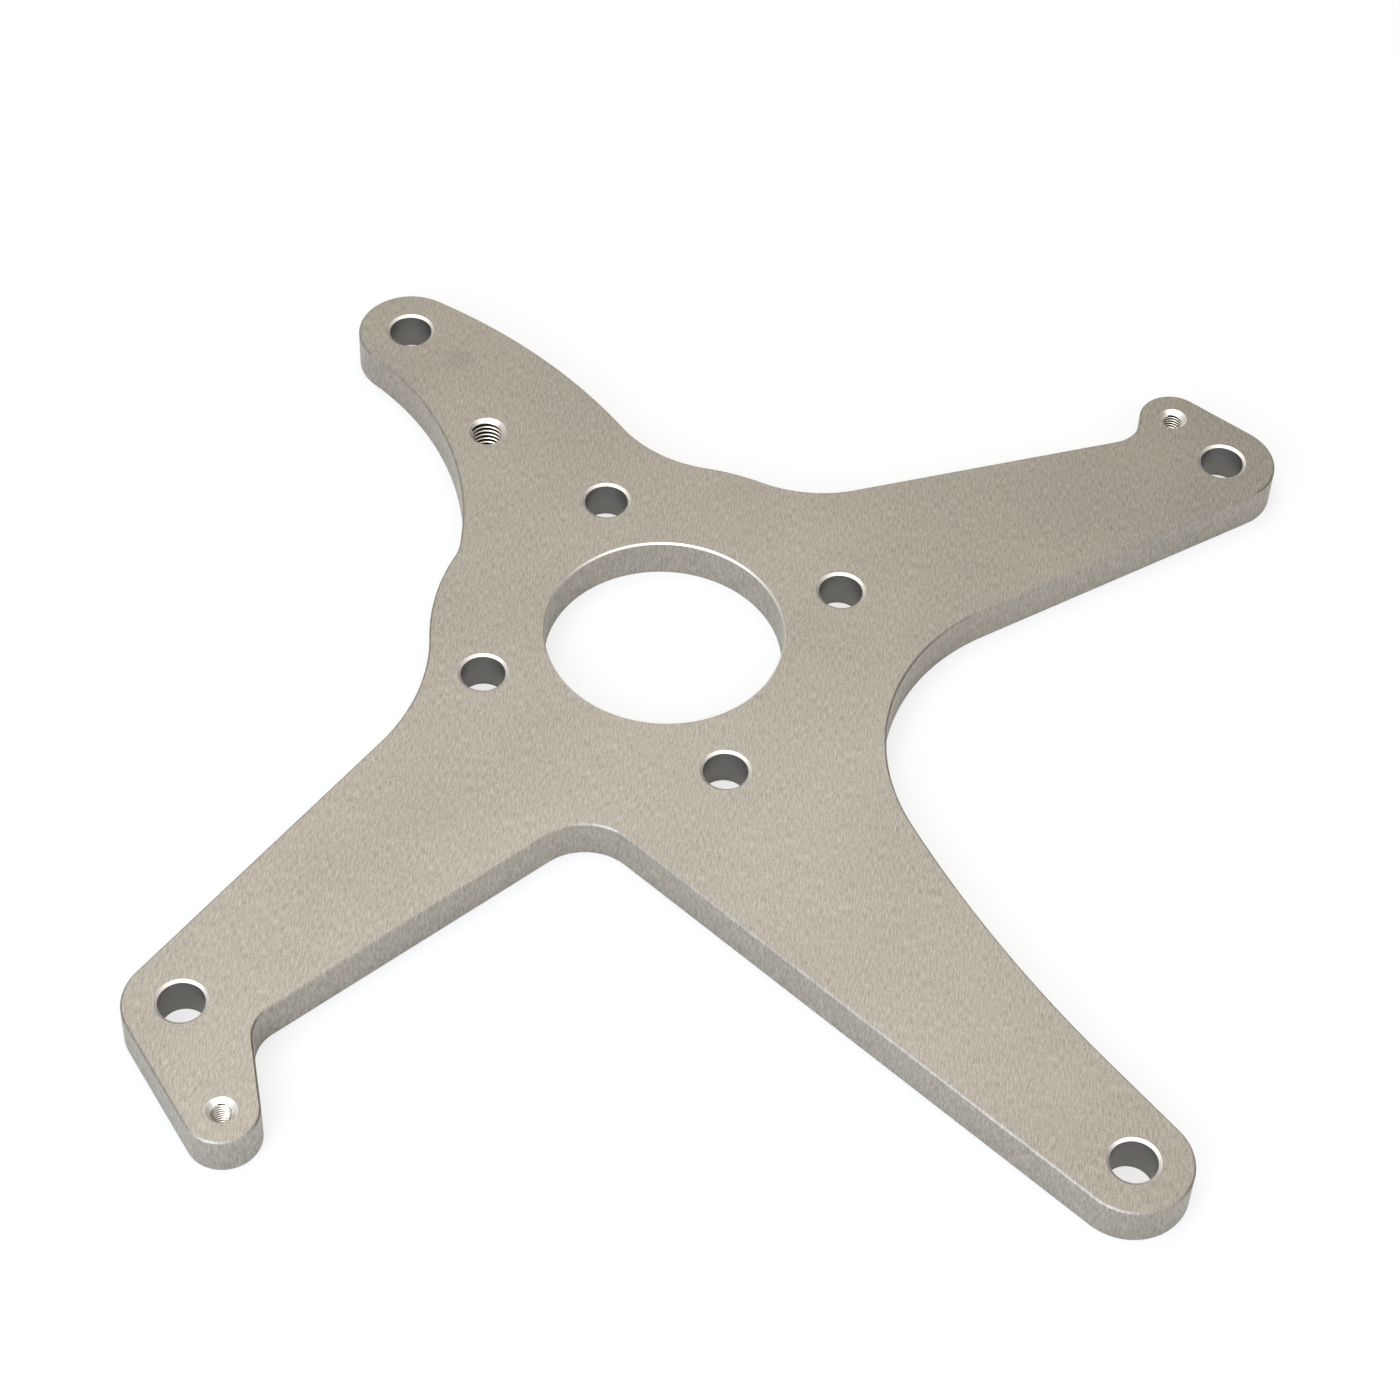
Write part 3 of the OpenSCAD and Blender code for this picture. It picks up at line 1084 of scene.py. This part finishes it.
@dataclass(frozen=True)
class Studio:
    """The white floor, the light tent round the plate and its four lamps."""

    floor_size: float = 12.0
    # A hair's gap under the plate, in metres, so that its underside and the floor aren't in one plane
    floor_gap: float = 0.00002
    floor_colour: str = "#E3E4E3"
    # How much of plain white the camera, and what shines, see in place of the lit floor
    floor_white_seen: float = 0.70
    floor_white_mirrored: float = 0.10
    panels: tuple[TentPanel, ...] = (
        TentPanel(azimuth=0.0, elevation=90.0, falloff=2.0, colour="#FFF4E6", strength=0.70),
        TentPanel(azimuth=258.0, elevation=69.0, falloff=12.0, colour="#FFF8F0", strength=2.20),
        TentPanel(azimuth=205.0, elevation=0.0, falloff=1.0, colour="#FCFCFF", strength=0.46),
    )
    lamps: tuple[Softbox, ...] = (
        Softbox("far_softbox", azimuth=123.0, elevation=68.0, power=3.50, colour="#F8FCFF"),
        Softbox("near_left_softbox", azimuth=258.0, elevation=30.0, power=5.60, colour="#D4E5FF"),
        Softbox("near_softbox", azimuth=293.0, elevation=33.0, power=3.10, colour="#DAE9FF"),
        Softbox("right_softbox", azimuth=345.0, elevation=36.0, power=2.60, colour="#F8FAFF"),
    )

    def lay_floor(self) -> bpy.types.Object:
        """Lays the floor that the plate rests on.

        Returns:
            The floor.
        """
        half = self.floor_size / 2
        mesh = bpy.data.meshes.new("floor")
        corners = [(-half, -half, 0), (half, -half, 0), (half, half, 0), (-half, half, 0)]
        mesh.from_pydata(corners, [], [(0, 1, 2, 3)])
        # Matt white acrylic sheet: plain white under the plate, with a soft shadow and no reflection
        material, tree, output = new_material("white_acrylic_floor")
        rays = add_node(tree, "ShaderNodeLightPath")
        mirrored = add_node(
            tree,
            "ShaderNodeMath",
            {"operation": "MULTIPLY"},
            {1: self.floor_white_mirrored},
            {0: rays.outputs["Is Glossy Ray"]},
        )
        share = add_node(
            tree,
            "ShaderNodeMath",
            {"operation": "MULTIPLY_ADD"},
            {1: self.floor_white_seen},
            {0: rays.outputs["Is Camera Ray"], 2: mirrored.outputs[0]},
        )
        lit = add_node(
            tree,
            "ShaderNodeBsdfPrincipled",
            None,
            {"Base Color": linear(self.floor_colour), "Roughness": 0.9, "Specular IOR Level": 0.2},
        )
        white = add_node(tree, "ShaderNodeEmission", None, {"Color": linear("#FFFFFF"), "Strength": 1.0})
        both = add_node(
            tree,
            "ShaderNodeMixShader",
            None,
            None,
            {0: share.outputs[0], 1: lit.outputs[0], 2: white.outputs[0]},
        )
        tree.links.new(both.outputs[0], output.inputs["Surface"])
        mesh.materials.append(material)
        floor = add_object("floor", mesh)
        floor.location.z = -self.floor_gap
        return floor

    def hang_tent(self) -> None:
        """Fills the world with the light of the tent's panels."""
        world = bpy.data.worlds.new("light_tent")
        bpy.context.scene.world = world
        world.use_nodes = True
        tree = world.node_tree
        tree.nodes.clear()
        output = add_node(tree, "ShaderNodeOutputWorld")
        way = add_node(tree, "ShaderNodeTexCoord").outputs["Generated"]
        tent: bpy.types.Node | None = None
        for panel in self.panels:
            facing = toward_sky(panel.azimuth, panel.elevation)
            level = add_node(
                tree, "ShaderNodeVectorMath", {"operation": "DOT_PRODUCT"}, {1: facing}, {0: way}
            ).outputs["Value"]
            for operation, value in (
                ("MAXIMUM", 0.0),
                ("POWER", panel.falloff),
                ("MULTIPLY", panel.strength),
            ):
                level = add_node(
                    tree, "ShaderNodeMath", {"operation": operation}, {1: value}, {0: level}
                ).outputs[0]
            surface = add_node(
                tree, "ShaderNodeBackground", None, {"Color": linear(panel.colour)}, {"Strength": level}
            )
            if tent:
                pair = {0: tent.outputs[0], 1: surface.outputs[0]}
                surface = add_node(tree, "ShaderNodeAddShader", None, None, pair)
            tent = surface
        white = add_node(tree, "ShaderNodeBackground", None, {"Color": linear("#FFFFFF"), "Strength": 1.0})
        rays = add_node(tree, "ShaderNodeLightPath")
        seen = add_node(
            tree,
            "ShaderNodeMixShader",
            None,
            None,
            {0: rays.outputs["Is Camera Ray"], 1: tent.outputs[0], 2: white.outputs[0]},
        )
        tree.links.new(seen.outputs[0], output.inputs["Surface"])

    def build(self) -> list[bpy.types.Object]:
        """Sets the whole studio up.

        Returns:
            The floor and the lamps.
        """
        floor = self.lay_floor()
        self.hang_tent()
        return [floor] + [lamp.place() for lamp in self.lamps]


@dataclass(frozen=True)
class PhotoCamera:
    """The camera where the photograph was taken from.

    Its place is in millimetres, its angles are in degrees, and it sees from near to far, in metres.
    """

    place: tuple[float, float, float] = (221.933, -481.553, 602.806)
    azimuth: float = 23.7651
    elevation: float = 49.2874
    roll: float = 3.2239
    focal_pixels: float = 3528.65
    near: float = 0.01
    far: float = 50.0

    def build(self) -> bpy.types.Object:
        """Puts the camera up and makes it the scene's.

        Returns:
            The camera.
        """
        az, el = math.radians(self.azimuth), math.radians(self.elevation)
        ahead = Vector((-math.sin(az) * math.cos(el), math.cos(az) * math.cos(el), -math.sin(el)))
        level = ahead.cross(Vector((0, 0, 1))).normalized()
        upright = level.cross(ahead)
        c, s = math.cos(math.radians(self.roll)), math.sin(math.radians(self.roll))
        right = level * c + upright * s
        up = right.cross(ahead)
        lens = bpy.data.cameras.new("photo_camera")
        lens.sensor_fit = "HORIZONTAL"
        lens.sensor_width = SENSOR_WIDTH
        lens.lens = self.focal_pixels / PHOTO_PIXELS * SENSOR_WIDTH
        # The photograph's pixels are counted from their middles, so its frame sits half a pixel off
        lens.shift_x = -0.5 / PHOTO_PIXELS
        lens.shift_y = 0.5 / PHOTO_PIXELS
        lens.clip_start = self.near
        lens.clip_end = self.far
        camera = add_object("photo_camera", lens)
        turn = Matrix((right, up, -ahead)).transposed()
        camera.matrix_world = Matrix.Translation(Vector(self.place) * MM) @ turn.to_4x4()
        bpy.context.scene.camera = camera
        return camera


def main() -> None:
    """Builds the camera, the studio and the bracket, and reports each."""
    logging.basicConfig(level=logging.INFO)
    bpy.context.scene.view_settings.view_transform = "Standard"
    camera = PhotoCamera().build()
    log.info("%s: %.1f mm lens", camera.name, camera.data.lens)
    for item in Studio().build():
        log.info("%s: in place", item.name)
    piece = Plate().build()
    log.info("%s: %d points, %d faces", piece.name, len(piece.data.vertices), len(piece.data.polygons))


if __name__ == "__main__":
    main()
